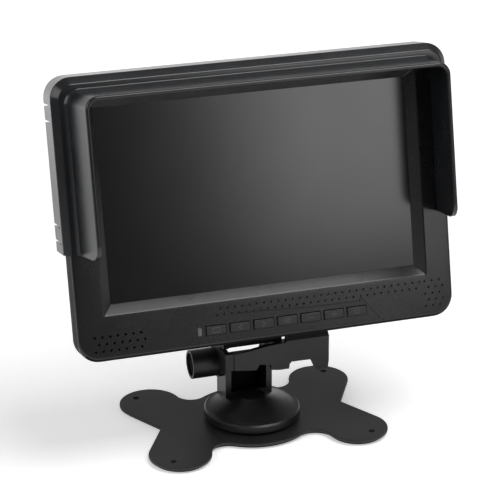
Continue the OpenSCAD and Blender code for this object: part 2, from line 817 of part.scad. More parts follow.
module main_board() {
    color([0.1, 0.35, 0.2]) on_monitor() {
        difference() {
            slab(board_z, board_z + board_t) translate([0, board_y]) {
                square([board_w, board_h], center = true);
            }
            at_board_pins(board_z - 1) cylinder(h = board_t + 2, r = 1.6);
        }
        chip(0, 0.1, 0.2, 0.36);
        chip(0.26, 0.08, 0.12, 0.21);
        chip(-0.3, 0.1, 0.13, 0.12);
    }
}

switch_top = -wall - 1.2 - button_travel - 0.1;
button_board_z = switch_top - 1.6;
strip_t = 1.2;
strip_rim = 3;
strip_half = button_h / 2 + strip_rim;

// Strip board behind the buttons, with one push switch for each of them
module button_board() {
    x0 = button_x0 - led_off - 1.3 * strip_rim;
    x1 = button_x0 + (button_n - 1) * button_pitch + button_w / 2 + 1.3 * strip_rim;
    color([0.1, 0.35, 0.2]) on_monitor() {
        block(x0, x1, button_y - strip_half, button_y + strip_half,
            button_board_z - strip_t, button_board_z);
        for (i = [0:button_n - 1]) {
            x = button_x0 + i * button_pitch;
            block(x - 2, x + 2, button_y - 2, button_y + 2, button_board_z - eps, button_board_z + 1.1);
            translate([x, button_y, button_board_z]) cylinder(h = 1.6, r = 1);
        }
        for (x = [x0 + 1.5, x1 - 1.5]) {
            translate([x, button_y - strip_half + 1.5, button_board_z - eps]) {
                cylinder(h = -wall - seat - button_board_z, r = 1.2);
            }
        }
        translate([button_x0 - led_off, button_y, button_board_z - eps]) cylinder(h = 0.8, r = 1);
    }
}

// Small loudspeaker behind the rows of round holes, with its magnet at the back
module speaker() {
    front = -wall - seat;
    color([0.12, 0.12, 0.12]) on_monitor() translate([speaker_x, speaker_up, 0]) {
        slab(front - speaker_t, front) {
            rounded(speaker_w, -speaker_h / 2, speaker_h / 2, speaker_h / 2 - 1.3);
        }
        slab(front - 1.35 * speaker_t, front - speaker_t + eps) circle(r = speaker_h / 2 - 1.3);
    }
}

module led_window() {
    color([0.8, 0.82, 0.85]) on_monitor() {
        slab(-wall - 1, 0.15) led_outline();
        slab(-wall - 1, -wall - seat) led_outline(0.8);
    }
}

module dc_jack() {
    color([0.08, 0.08, 0.08]) on_monitor() translate([jack_x, socket_y, -body_d + 0.4]) {
        difference() {
            cylinder(h = body_d - 0.4 + board_z - seat, r = jack_r);
            translate([0, 0, -1]) cylinder(h = 9.5, r = jack_bore_r);
        }
        cylinder(h = 9, r = 0.85);
    }
}

module hdmi_socket() {
    color([0.7, 0.7, 0.72]) on_monitor() translate([hdmi_x, socket_y, -body_d + 0.4]) {
        difference() {
            block(-7.8, 7.8, -3.4, 3.4, 0, body_d - 0.4 + board_z - seat);
            block(-7, 7, -2.3, 2.3, -1, 9);
        }
        block(-5.5, 5.5, -0.6, 0.6, 0.8, 9.1);
    }
}

module av_sockets() {
    color([0.08, 0.08, 0.08]) on_monitor() for (x = av_xs) {
        translate([x, socket_y, -body_d + 0.4]) difference() {
            cylinder(h = body_d - 0.4 + board_z - seat, r = av_r);
            translate([0, 0, -1]) cylinder(h = av_bore_d + 1, r = av_bore_r);
        }
    }
}

module housing_screws() {
    head_z = screw_seat - seat;
    color([0.25, 0.25, 0.26]) on_monitor() for (sx = [-1, 1]) {
        for (y = screw_ys) {
            translate([sx * screw_x, y, 0]) difference() {
                union() {
                    translate([0, 0, head_z - 1.8]) cylinder(h = 1.8, r = 2.8);
                    translate([0, 0, head_z - eps]) cylinder(h = -bezel_d + 4.4 - head_z, r = screw_r);
                }
                for (a = [0, 90]) {
                    rotate(a) translate([-1.6, -0.35, head_z - 2.8]) cube([3.2, 0.7, 2]);
                }
            }
        }
    }
}

// One button: a cap, with a flange behind the bezel that keeps it in its opening
module button(i) {
    x = button_x0 + i * button_pitch;
    color([0.17, 0.17, 0.18]) on_monitor() {
        slab(-wall - 1.2, button_proud) button_opening(i);
        slab(-wall - 1.2, -wall - seat) translate([x, button_y]) {
            square([button_w + 1.2, button_h + 1.6], center = true);
        }
    }
}

module hood_shell() {
    difference() {
        hull() {
            slab(-skirt_d, flange_front - hood_cham) round_topped(hood_w, -hood_low, hood_top, hood_r);
            slab(flange_front - eps, flange_front) {
                round_topped(hood_w - 2 * hood_cham, -hood_low, hood_top - hood_cham, hood_r - hood_cham);
            }
        }
        slab(-skirt_d - 1, flange_z) translate([0, -hood_low - 1]) {
            round_topped(body_w + 2 * hood_gap, 0, body_top + hood_gap + hood_low + 1, body_r + hood_gap);
        }
        slab(0, flange_front + 1) translate([0, -hood_low - 1]) {
            round_topped(2 * (visor_half - visor_t), 0, visor_top - visor_t + hood_low + 1, 4);
        }
    }
}

// One U-shaped sheet between the flange and the rim, leaning in at its sides
module visor_hull(inside) {
    low = -hood_low - (inside ? 2 : 0);
    cut = inside ? visor_t : 0;
    more = inside ? 1 : 0;
    lean_in = visor_lean * (1 + more / visor_l);
    hull() {
        slab(flange_front - eps - more, flange_front) {
            round_topped(2 * (visor_half - cut), low, visor_top - cut, 6 - cut);
        }
        slab(rim_z - eps + more, rim_z + more) {
            round_topped(2 * (visor_half - lean_in - cut), low, visor_top - 0.4 - cut, 6 - cut);
        }
    }
}

// Sun hood: a skirt with clip fingers, a chamfered flange and the visor
module sun_hood() {
    low = -hood_low;
    color([0.2, 0.2, 0.21]) on_monitor() difference() {
        union() {
            hood_shell();
            difference() {
                union() {
                    visor_hull(false);
                    hull() {
                        slab(flange_front - eps, flange_front) {
                            round_topped(2 * (visor_half + foot_cham), low, visor_top + foot_cham,
                                6 + foot_cham);
                        }
                        slab(flange_front + foot_cham, flange_front + foot_cham + eps) {
                            round_topped(2 * visor_half - 0.4, low, visor_top - 0.1, 6);
                        }
                    }
                }
                visor_hull(true);
                plane_yz(-hood_w, hood_w) difference() {
                    translate([low - 1, rim_z - visor_tip_r]) square([visor_tip_r + 1, visor_tip_r + 1]);
                    translate([low + visor_tip_r, rim_z - visor_tip_r]) circle(r = visor_tip_r);
                }
            }
        }
        for (y = [hood_top - finger_drop, -finger_low]) {
            for (s = [-1, 1]) {
                block(-hood_w, hood_w, y + s * finger_w / 2 - slit_w / 2, y + s * finger_w / 2 + slit_w / 2,
                    -skirt_d - 1, -skirt_d + slit_l);
            }
        }
    }
}

base_plate();
base_pad();
pedestal();
swivel_screw();
swivel_washer();
tilt_fork();
cross_bolt();
clamp_lever();
lever_insert();
front_bezel();
rear_cover();
screen_glass();
display_module();
main_board();
button_board();
speaker();
led_window();
dc_jack();
hdmi_socket();
av_sockets();
housing_screws();
sun_hood();
button(0);  // button_1
button(1);  // button_2
button(2);  // button_3
button(3);  // button_4
button(4);  // button_5
button(5);  // button_6
button(6);  // button_7
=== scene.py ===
import math

import bmesh
import bpy
from mathutils import Matrix, Vector


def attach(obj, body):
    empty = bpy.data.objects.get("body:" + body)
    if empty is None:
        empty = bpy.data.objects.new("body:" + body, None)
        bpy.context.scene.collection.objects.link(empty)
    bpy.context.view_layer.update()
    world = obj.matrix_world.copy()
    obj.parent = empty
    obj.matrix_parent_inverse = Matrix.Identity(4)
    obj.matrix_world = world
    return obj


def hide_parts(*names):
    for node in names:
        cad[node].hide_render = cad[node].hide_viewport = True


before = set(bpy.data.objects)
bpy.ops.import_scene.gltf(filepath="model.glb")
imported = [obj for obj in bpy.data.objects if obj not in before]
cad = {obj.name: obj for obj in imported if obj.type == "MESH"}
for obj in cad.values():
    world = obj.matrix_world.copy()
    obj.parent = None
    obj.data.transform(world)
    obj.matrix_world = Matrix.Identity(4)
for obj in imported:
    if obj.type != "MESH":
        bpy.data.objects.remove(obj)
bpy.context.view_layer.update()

scene = bpy.context.scene

# Camera: a long lens, a metre in front of the monitor, a little to the left and above,
# looking down at 22 degrees as in the photograph.
camera = bpy.data.objects.new("camera", bpy.data.cameras.new("camera"))
scene.collection.objects.link(camera)
camera.data.lens = 141.67
camera.data.sensor_width = 36
camera.location = (-0.26895, -0.84290, 0.45681)
camera.rotation_euler = [math.radians(a) for a in (67.6152, 0.1782, -17.7245)]
scene.camera = camera
scene.view_settings.view_transform = "Standard"

# Studio: white paper on the floor, in a room that is dim in front and light behind. The
# camera sees white everywhere, and the shadow under the object. Gloss and glass see the
# paper only near the object and behind it, so that faces turned to the room stay dark.
floor_mesh = bpy.data.meshes.new("floor")
paper_side, paper_near, paper_far, paper_top = 1, -0.55, 6, -0.0001
floor_mesh.from_pydata(
    [
        (-paper_side, paper_near, paper_top), (paper_side, paper_near, paper_top),
        (paper_side, paper_far, paper_top), (-paper_side, paper_far, paper_top),
    ],
    [],
    [(0, 1, 2, 3)],
)
floor = bpy.data.objects.new("floor", floor_mesh)
scene.collection.objects.link(floor)


def maths(tree, first, second, operation="ADD"):
    """One maths node; each side is a socket or a number"""
    node = tree.nodes.new("ShaderNodeMath")
    node.operation = operation
    for socket, value in zip(node.inputs, (first, second)):
        if isinstance(value, (int, float)):
            socket.default_value = value
        else:
            tree.links.new(value, socket)
    return node.outputs[0]


paper = bpy.data.materials.new("white_paper")
paper.use_nodes = True
tree = paper.node_tree
shader = tree.nodes["Principled BSDF"]
shader.inputs["Roughness"].default_value = 0.85
shader.inputs["Emission Color"].default_value = (1, 1, 1, 1)
fibre = tree.nodes.new("ShaderNodeTexNoise")
fibre.inputs["Scale"].default_value = 60
tint = tree.nodes.new("ShaderNodeMapRange")
tint.inputs["To Min"].default_value = 0.90
tint.inputs["To Max"].default_value = 0.93
tree.links.new(fibre.outputs["Fac"], tint.inputs["Value"])
tree.links.new(tint.outputs["Result"], shader.inputs["Base Color"])
floor_mesh.materials.append(paper)


def ramp(tree, value, start, end, low, high):
    """Runs from low to high while the value goes from start to end"""
    node = tree.nodes.new("ShaderNodeMapRange")
    node.interpolation_type = "SMOOTHSTEP"
    limits = {"From Min": start, "From Max": end, "To Min": low, "To Max": high}
    for label, number in limits.items():
        node.inputs[label].default_value = number
    tree.links.new(value, node.inputs["Value"])
    return node.outputs["Result"]


place = tree.nodes.new("ShaderNodeTexCoord").outputs["Object"]
spot = tree.nodes.new("ShaderNodeVectorMath")
spot.operation = "LENGTH"
axes = tree.nodes.new("ShaderNodeSeparateXYZ")
tree.links.new(place, spot.inputs[0])
tree.links.new(place, axes.inputs["Vector"])
rays = tree.nodes.new("ShaderNodeLightPath").outputs
direct = maths(
    tree, rays["Is Camera Ray"], ramp(tree, spot.outputs["Value"], 0.1, 1.1, 0.42, 0.9), "MULTIPLY"
)
laid = maths(
    tree,
    ramp(tree, spot.outputs["Value"], 0.3, 0.8, 0.25, 0),
    ramp(tree, axes.outputs["Y"], 0.15, 0.7, 0, 0.9),
    "MAXIMUM",
)
mirrored = maths(tree, rays["Is Glossy Ray"], rays["Is Transmission Ray"])
glow = maths(tree, direct, maths(tree, mirrored, laid, "MULTIPLY"), "MAXIMUM")
tree.links.new(glow, shader.inputs["Emission Strength"])

world = bpy.data.worlds.new("studio")
world.use_nodes = True
scene.world = world
tree = world.node_tree
where = tree.nodes.new("ShaderNodeTexCoord")
split = tree.nodes.new("ShaderNodeSeparateXYZ")
tree.links.new(where.outputs["Generated"], split.inputs["Vector"])
room = ramp(tree, split.outputs["Y"], -0.3, 0.7, 0.06, 0.28)
sweep = maths(
    tree,
    ramp(tree, split.outputs["Y"], 0.1, 0.5, 0, 1),
    ramp(tree, split.outputs["Z"], 0.10, 0.38, 1, 0),
    "MULTIPLY",
)
camera_ray = tree.nodes.new("ShaderNodeLightPath").outputs["Is Camera Ray"]
lit = maths(tree, maths(tree, room, sweep, "MAXIMUM"), camera_ray, "MAXIMUM")
tree.links.new(lit, tree.nodes["Background"].inputs["Strength"])
tree.nodes["Background"].inputs["Color"].default_value = (1, 1, 1, 1)


def soft_box(name, place, aim, wide, high, watts):
    """A studio lamp behind a rectangle of white cloth, turned towards a point"""
    data = bpy.data.lights.new(name, "AREA")
    data.shape = "RECTANGLE"
    data.size, data.size_y, data.energy = wide, high, watts
    lamp = bpy.data.objects.new(name, data)
    lamp.location = place
    lamp.rotation_mode = "QUATERNION"
    lamp.rotation_quaternion = (Vector(aim) - Vector(place)).to_track_quat("-Z", "Y")
    scene.collection.objects.link(lamp)


# A lamp at the left, one overhead, and a tall one at the front right that the screen mirrors
soft_box("left_lamp", (-1.05, -0.35, 0.75), (0, 0, 0.1), 0.8, 0.8, 5)
soft_box("top_lamp", (0.54, -0.50, 1.50), (0.54, -0.5, 0.1), 1.0, 0.9, 17)
soft_box("front_lamp", (0.60, -1.45, 0.46), (0.0, 0, 0.13), 0.36, 0.62, 3.0)


# Base plate: 1.5 mm steel, stamped to four lobes with a boss pressed up in its middle,
# and coated satin black. Four screws can go through the small holes in the lobes.
def surface(
    name, colour, rough, grain, bump, rough_spread=0.08, shade=0.25, metal=0.0, specular=0.5
):
    """A finish with a fine grain in its relief and a broad drift in its colour and gloss"""
    made = bpy.data.materials.new(name)
    made.use_nodes = True
    tree = made.node_tree
    nodes, links = tree.nodes, tree.links
    shader = nodes["Principled BSDF"]
    shader.inputs["Metallic"].default_value = metal
    shader.inputs["Specular IOR Level"].default_value = specular
    here = nodes.new("ShaderNodeTexCoord")
    fine = nodes.new("ShaderNodeTexNoise")
    fine.inputs["Scale"].default_value = 1 / grain
    fine.inputs["Detail"].default_value = 3
    broad = nodes.new("ShaderNodeTexNoise")
    broad.inputs["Scale"].default_value = 28
    broad.inputs["Detail"].default_value = 4
    for pattern in (fine, broad):
        links.new(here.outputs["Object"], pattern.inputs["Vector"])
    fine_share = 0.4
    both = maths(
        tree,
        maths(tree, fine.outputs["Fac"], fine_share, "MULTIPLY"),
        maths(tree, broad.outputs["Fac"], 1 - fine_share, "MULTIPLY"),
    )
    tone = nodes.new("ShaderNodeValToRGB")
    gloss = nodes.new("ShaderNodeMapRange")
    for end, share, way in zip(("Min", "Max"), (0.3, 0.7), (-1, 1)):
        stop = tone.color_ramp.elements[0 if way < 0 else 1]
        stop.position = share
        stop.color = [c * (1 + way * shade) for c in colour] + [1]
        gloss.inputs["From " + end].default_value = share
        gloss.inputs["To " + end].default_value = rough + way * rough_spread
    links.new(both, tone.inputs["Fac"])
    links.new(tone.outputs["Color"], shader.inputs["Base Color"])
    links.new(both, gloss.inputs["Value"])
    links.new(gloss.outputs["Result"], shader.inputs["Roughness"])
    relief = nodes.new("ShaderNodeBump")
    relief.inputs["Strength"].default_value = bump
    relief.inputs["Distance"].default_value = grain / 4
    links.new(fine.outputs["Fac"], relief.inputs["Height"])
    links.new(relief.outputs["Normal"], shader.inputs["Normal"])
    return made


def plain_copy(node_name, piece_name):
    """The CAD piece's mesh in one skin, its flat faces joined, ready to be worked on"""
    mesh = cad[node_name].data.copy()
    mesh.name = piece_name
    mesh.materials.clear()
    piece = bpy.data.objects.new(piece_name, mesh)
    scene.collection.objects.link(piece)
    shape = bmesh.new()
    shape.from_mesh(mesh)
    bmesh.ops.remove_doubles(shape, verts=shape.verts, dist=1e-6)
    bmesh.ops.dissolve_limit(
        shape, angle_limit=math.radians(0.4), verts=shape.verts, edges=shape.edges
    )
    shape.to_mesh(mesh)
    shape.free()
    for layer in [a.name for a in mesh.attributes if a.name == "custom_normal"]:
        mesh.attributes.remove(mesh.attributes[layer])
    return piece


def soften(piece, radius, steps=2, chosen=None):
    """Rounds the piece's edges off, or only those that the test picks, and smooths the rest;
    with no radius it only smooths"""
    shape = bmesh.new()
    shape.from_mesh(piece.data)
    edges = [
        e
        for e in shape.edges
        if radius > 0
        and len(e.link_faces) == 2
        and e.calc_face_angle() > math.radians(32)
        and (chosen is None or chosen(e))
    ]
    if edges:
        bmesh.ops.bevel(
            shape, geom=edges, offset=radius, offset_type="OFFSET", segments=steps,
            profile=0.5, affect="EDGES", clamp_overlap=True,
        )
    shape.to_mesh(piece.data)
    shape.free()
    piece.data.shade_smooth()
    piece.data.set_sharp_from_angle(angle=math.radians(38))
    even = piece.modifiers.new("even_shading", "WEIGHTED_NORMAL")
    even.keep_sharp = True


def not_tiny(edge):
    """True for an edge that is long enough to be rounded"""
    return edge.calc_length() > 0.0004


coated_steel = surface("coated_steel", (0.0145, 0.0145, 0.015), 0.42, 0.00045, 0.25)
base = plain_copy("base_plate", "stamped_base")
soften(base, 0.00035, chosen=not_tiny)
base.data.materials.append(coated_steel)
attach(base, "base")
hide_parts("base_plate")


# Foam pad: soft black closed-cell foam, glued under the base plate and a little smaller
# than it, so that it doesn't show from above.
def dress(node_name, finish):
    """Gives a CAD piece whose shape is already right its finish"""
    piece = cad[node_name]
    if not piece.material_slots:
        piece.data.materials.append(finish)
    for slot in piece.material_slots:
        slot.material = finish


foam = surface("foam", (0.018, 0.018, 0.019), 0.9, 0.0007, 0.9, shade=0.4, specular=0.2)
dress("base_pad", foam)

# Pedestal: moulded nylon, one hollow foot with a post whose two ears carry the bolt.
# It turns on a shouldered screw that goes in from below, over a steel washer.
stand_nylon = surface("stand_nylon", (0.0085, 0.0085, 0.009), 0.36, 0.00035, 0.22)
pedestal = plain_copy("pedestal", "moulded_pedestal")


def keep(shape, piece_name):
    """Turns a finished shape into an object of the scene"""
    bmesh.ops.recalc_face_normals(shape, faces=shape.faces)
    mesh = bpy.data.meshes.new(piece_name)
    shape.to_mesh(mesh)
    shape.free()
    piece = bpy.data.objects.new(piece_name, mesh)
    scene.collection.objects.link(piece)
    return piece


def cut(piece, cutters, crossing=False):
    """Takes the cutters out of the piece and clears them away; a cutter may cross itself"""
    for cutter in cutters:
        step = piece.modifiers.new("cut", "BOOLEAN")
        step.operation, step.solver, step.object = "DIFFERENCE", "EXACT", cutter
        step.use_self = crossing
    ready = piece.evaluated_get(bpy.context.evaluated_depsgraph_get())
    mesh = bpy.data.meshes.new_from_object(ready)
    piece.modifiers.clear()
    piece.data = mesh
    for cutter in cutters:
        bpy.data.objects.remove(cutter)


# The wall between the ears ends lower at the back, where light comes through above the lever
between_ears, wall_front, wall_back, wall_top, over_ears = 0.0184, 0.0125, 0.030, 0.0305, 0.060
window = bmesh.new()
for v in bmesh.ops.create_cube(window, size=1)["verts"]:
    v.co = Vector((
        v.co.x * between_ears,
        wall_front if v.co.y < 0 else wall_back,
        wall_top if v.co.z < 0 else over_ears,
    ))
cut(pedestal, [keep(window, "rear_window")])
soften(pedestal, 0.0005, chosen=not_tiny)
pedestal.data.materials.append(stand_nylon)
# The pocket between the ears is painted near black and dull: painted shade for its deep shadow
painted_shade_nylon = surface("painted_shade_nylon", (0.004, 0.004, 0.004), 0.8, 0.0005, 0.4, specular=0.15)
pedestal.data.materials.append(painted_shade_nylon)
pocket_side, pocket_front, pocket_back, pocket_floor = 9.3, 5.8, 17, 9
for face in pedestal.data.polygons:
    x, y, z = face.center * 1000
    inside = abs(x) < pocket_side and pocket_front < y < pocket_back and z > pocket_floor
    cheek_of_pocket = pocket_side - 0.5 < abs(x) < pocket_side and y > pocket_front - 0.9
    if inside or cheek_of_pocket:
        face.material_index = 1
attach(pedestal, "pedestal")
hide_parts("pedestal")

bright_zinc = surface("bright_zinc", (0.62, 0.62, 0.64), 0.32, 0.0004, 0.12, metal=1.0, shade=0.08)
dress("swivel_screw", bright_zinc)
dress("swivel_washer", bright_zinc)

# Tilt fork: glass-filled nylon, two cheeks beside the post, the boss for the bolt's head
# and the flat tongue that the monitor slides onto.
lean = math.radians(13)
fork = plain_copy("tilt_fork", "moulded_fork")
# The web's lower edge goes up by a millimetre, for the same gap above the lever
web_side, web_middle, web_back, web_lift, over_bolt = 0.0147, 0.009, 0.004, 0.001, 0.035
web_low = min(
    v.co.z for v in fork.data.vertices if abs(v.co.x) < web_middle and v.co.z > over_bolt
)
for v in fork.data.vertices:
    on_edge = web_low - 0.0001 < v.co.z < web_low + 0.0013
    if abs(v.co.x) < web_side and on_edge and v.co.y < web_back:
        v.co += Vector((0, math.sin(lean), math.cos(lean))) * web_lift
soften(fork, 0.0004, chosen=not_tiny)
fork_nylon = surface("fork_nylon", (0.009, 0.009, 0.0095), 0.46, 0.0004, 0.3)
fork.data.materials.append(fork_nylon)
fork.data.materials.append(painted_shade_nylon)
# What faces forwards between the cheeks, behind the lever, is painted near black: painted shade
between_cheeks, behind_lip, web_foot, web_head = 14.2, -4, 34, 66
for face in fork.data.polygons:
    x, y, z = face.center * 1000
    behind_lever = abs(x) < between_cheeks and y > behind_lip and web_foot < z < web_head
    if behind_lever and face.normal.y < 0.3:
        face.material_index = 1
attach(fork, "fork")
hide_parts("tilt_fork")

# Cross bolt: black M5 hexagon bolt, held by its head in the fork's boss, and the brass
# insert in the lever's hub that it screws into.
dress("cross_bolt", surface("black_bolt", (0.05, 0.05, 0.055), 0.35, 0.0003, 0.2, metal=0.8))
dress("lever_insert", surface("brass", (0.70, 0.50, 0.22), 0.3, 0.0004, 0.15, metal=1.0))

# Clamp lever: moulded nylon, a hub on the bolt's right end, a short arm and the long
# plate in front of the fork, with a thumb tab at its free end.
lever = plain_copy("clamp_lever", "moulded_lever")
# Right of the arm, the plate ends under the housing's lower edge
arm_left, plate_back, plate_top = 0.014, -0.0034, 0.0432
for v in lever.data.vertices:
    if v.co.x > arm_left and v.co.y < plate_back:
        v.co.z = min(v.co.z, plate_top)
soften(lever, 0.0005, chosen=not_tiny)
lever.data.materials.append(surface("lever_nylon", (0.012, 0.012, 0.0125), 0.45, 0.0005, 0.35))
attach(lever, "lever")
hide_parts("clamp_lever")

# Front bezel: the front half of the housing, moulded in one piece with the slope down to
# the screen. Buttons, indicator and loudspeaker look through it.
screen_middle = Vector((0, -16, 129.3))


def on_monitor(x, y, z):
    """A point given in mm to the right, up and out of the screen's middle"""
    sine, cosine = math.sin(lean), math.cos(lean)
    return (screen_middle + Vector((x, y * sine - z * cosine, y * cosine + z * sine))) / 1000


def outline(half, low, high, radius, z, steps=8):
    """A rectangle with round corners at one depth of the housing, counted anticlockwise"""
    points = []
    for quarter, (sx, sy) in enumerate(((1, 1), (-1, 1), (-1, -1), (1, -1))):
        cx = sx * (half - radius)
        cy = high - radius if sy > 0 else low + radius
        for i in range(steps + 1):
            a = math.radians(90 * (quarter + i / steps))
            points.append(on_monitor(cx + radius * math.cos(a), cy + radius * math.sin(a), z))
    return points


def skin(rings, around=True):
    """One closed skin through outlines that follow each other and come back to the first"""
    shape = bmesh.new()
    rows = [[shape.verts.new(p) for p in points] for points in rings]
    count = len(rows[0])
    for a, b in zip(rows, rows[1:] + rows[:1]):
        for i in range(count if around else count - 1):
            j = (i + 1) % count
            shape.faces.new((a[i], a[j], b[j], b[i]))
    return shape, rows


def bars(piece_name, boxes):
    """Square cutters in the monitor's frame, each (x0, x1, y0, y1, z0, z1) in mm"""
    shape = bmesh.new()
    for x0, x1, y0, y1, z0, z1 in boxes:
        made = bmesh.ops.create_cube(shape, size=1)["verts"]
        for v in made:
            v.co = on_monitor(
                x0 if v.co.x < 0 else x1, y0 if v.co.y < 0 else y1, z0 if v.co.z < 0 else z1
            )
    return keep(shape, piece_name)


def pin_rows_tree():
    """Geometry Nodes: rows of round pins, each second row shifted by part of a step"""
    group = bpy.data.node_groups.new("pin_rows", "GeometryNodeTree")
    face = group.interface
    face.new_socket("Geometry", in_out="OUTPUT", socket_type="NodeSocketGeometry")
    for label, kind in (
        ("Columns", "NodeSocketInt"), ("Rows", "NodeSocketInt"), ("Step", "NodeSocketFloat"),
        ("Row step", "NodeSocketFloat"), ("Shift", "NodeSocketFloat"),
        ("Radius", "NodeSocketFloat"), ("Length", "NodeSocketFloat"),
        ("Sides", "NodeSocketInt"), ("Material", "NodeSocketMaterial"),
    ):
        face.new_socket(label, in_out="INPUT", socket_type=kind)
    add, link = group.nodes.new, group.links.new
    given = add("NodeGroupInput")
    grid = add("GeometryNodeMeshGrid")
    for axis, number, step in (("X", "Columns", "Step"), ("Y", "Rows", "Row step")):
        link(given.outputs[number], grid.inputs["Vertices " + axis])
        gaps = maths(group, given.outputs[number], 1, "SUBTRACT")
        link(maths(group, gaps, given.outputs[step], "MULTIPLY"), grid.inputs["Size " + axis])
    place = add("GeometryNodeInputIndex")
    row = maths(group, place.outputs[0], given.outputs["Rows"], "MODULO")
    odd = maths(group, row, 2, "MODULO")
    move = add("ShaderNodeCombineXYZ")
    link(maths(group, odd, given.outputs["Shift"], "MULTIPLY"), move.inputs["X"])
    shifted = add("GeometryNodeSetPosition")
    link(grid.outputs["Mesh"], shifted.inputs["Geometry"])
    link(move.outputs["Vector"], shifted.inputs["Offset"])
    pin = add("GeometryNodeMeshCylinder")
    link(given.outputs["Sides"], pin.inputs["Vertices"])
    link(given.outputs["Radius"], pin.inputs["Radius"])
    link(given.outputs["Length"], pin.inputs["Depth"])
    spread = add("GeometryNodeInstanceOnPoints")
    link(shifted.outputs["Geometry"], spread.inputs["Points"])
    link(pin.outputs["Mesh"], spread.inputs["Instance"])
    real = add("GeometryNodeRealizeInstances")
    link(spread.outputs["Instances"], real.inputs["Geometry"])
    paint = add("GeometryNodeSetMaterial")
    link(real.outputs["Geometry"], paint.inputs["Geometry"])
    link(given.outputs["Material"], paint.inputs["Material"])
    out = add("NodeGroupOutput")
    link(paint.outputs["Geometry"], out.inputs["Geometry"])
    return group


pin_rows = pin_rows_tree()


def pins(
    piece_name, columns, rows, step, row_step, shift, radius, length, middle, finish, sides=14
):
    """Rows of round pins that stand along the monitor's depth, centred on a point in mm"""
    holder = bpy.data.objects.new(piece_name, bpy.data.meshes.new(piece_name))
    scene.collection.objects.link(holder)
    grown = holder.modifiers.new("rows", "NODES")
    grown.node_group = pin_rows
    wanted = {
        "Columns": columns, "Rows": rows, "Step": step / 1000, "Row step": row_step / 1000,
        "Shift": shift / 1000, "Radius": radius / 1000, "Length": length / 1000,
        "Sides": sides, "Material": finish,
    }
    for item in pin_rows.interface.items_tree:
        if item.in_out == "INPUT":
            grown[item.identifier] = wanted[item.name]
    ready = holder.evaluated_get(bpy.context.evaluated_depsgraph_get())
    mesh = bpy.data.meshes.new_from_object(ready)
    holder.modifiers.clear()
    holder.data = mesh
    place = Matrix.Translation(on_monitor(*middle)) @ Matrix.Rotation(math.pi / 2 - lean, 4, "X")
    mesh.transform(place)
    return holder


housing_abs = surface(
    "housing_abs", (0.0085, 0.0085, 0.009), 0.26, 0.0004, 0.10, rough_spread=0.05, specular=0.48
)
half, low, high, corner, seam = 94, -72.35, 58.65, 10, -8
screen_x, screen_y, slope, sunk, wall = 76.3, 46.15, 4.5, -4.6, 2.2


def housing_ring(inset, z, lift=None):
    """The housing's outline, drawn in by the inset; its lower edge can be drawn in more"""
    raised = inset if lift is None else lift
    return outline(half - inset, low + raised, high - inset, corner - inset, z)


def screen_ring(outset, radius, z):
    """A rectangle round the screen's opening"""
    return outline(screen_x + outset, -screen_y - outset, screen_y + outset, radius, z)


rings = [
    housing_ring(0.25, seam), housing_ring(0, seam + 0.25), housing_ring(0, -2.3),
    housing_ring(0, -1.2, lift=0.3), housing_ring(0.16, -0.6, lift=0.75),
    housing_ring(0.6, -0.16, lift=1.45), housing_ring(1.2, 0, lift=2.3),
    screen_ring(slope + 0.5, 1.1, 0), screen_ring(slope + 0.1, 0.7, -0.15),
    screen_ring(slope - 0.3, 0.5, -0.45), screen_ring(0.1, 0.3, sunk + 0.3),
    screen_ring(0, 0.3, sunk), screen_ring(slope, 0.7, sunk), screen_ring(slope, 0.7, -wall),
    housing_ring(wall, -wall), housing_ring(wall, seam),
]
bezel = keep(skin(rings)[0], "front_shell")

button_x = [-27.3 + 11.84 * i for i in range(7)]
button_y, led_x = -64.05, -35.4
openings = bars(
    "openings",
    [(x - 5.3, x + 5.15, button_y - 2.35, button_y + 2.5, -4, 1) for x in button_x]
    + [(led_x - 1.1, led_x + 1.1, button_y - 2.0, button_y + 2.0, -4, 1)],
)
turns = [
    (-17.6, -57.45), (-4.0, -57.45), (18.74, -58.85), (45.24, -59.15), (46.34, -57.95),
    (54.94, -68.85),
]
box_faces = (0, 1, 3, 2), (4, 6, 7, 5), (0, 4, 5, 1), (2, 3, 7, 6), (0, 2, 6, 4), (1, 5, 7, 3)


def stroke(shape, start, end, half, z0, z1, past=0.0):
    """Adds a straight bar between two points of the monitor's front, in mm"""
    along = (Vector(end) - Vector(start)).normalized()
    side = Vector((-along.y, along.x)) * half
    ends = [Vector(start) - along * past, Vector(end) + along * past]
    verts = [
        shape.verts.new(on_monitor(*(p + side * s), z))
        for z in (z0, z1) for p in ends for s in (-1, 1)
    ]
    for corners in box_faces:
        shape.faces.new([verts[k] for k in corners])


line = bmesh.new()
line_half, line_deep = 0.38, 0.45
for start, end in zip(turns, turns[1:]):
    stroke(line, start, end, line_half, -line_deep, 0.5, past=0.1)
field_line = keep(line, "field_line")
grille = pins(
    "grille", 7, 3, 3.7, 3.404, 1.85, 0.6, 6, (-74.925, button_y + 0.3, -1), housing_abs, sides=16
)
dots = pins("dots", 29, 2, 3.62, 3.0, 1.81, 0.6, 1.6, (24.2, -55.45, 0), housing_abs)
corner_dots = pins("corner_dots", 3, 5, 3.7, 3.1, 1.85, 0.6, 1.6, (83.2, -60.1, 0), housing_abs)
cut(bezel, [openings, grille, dots, corner_dots])
cut(bezel, [field_line], crossing=True)
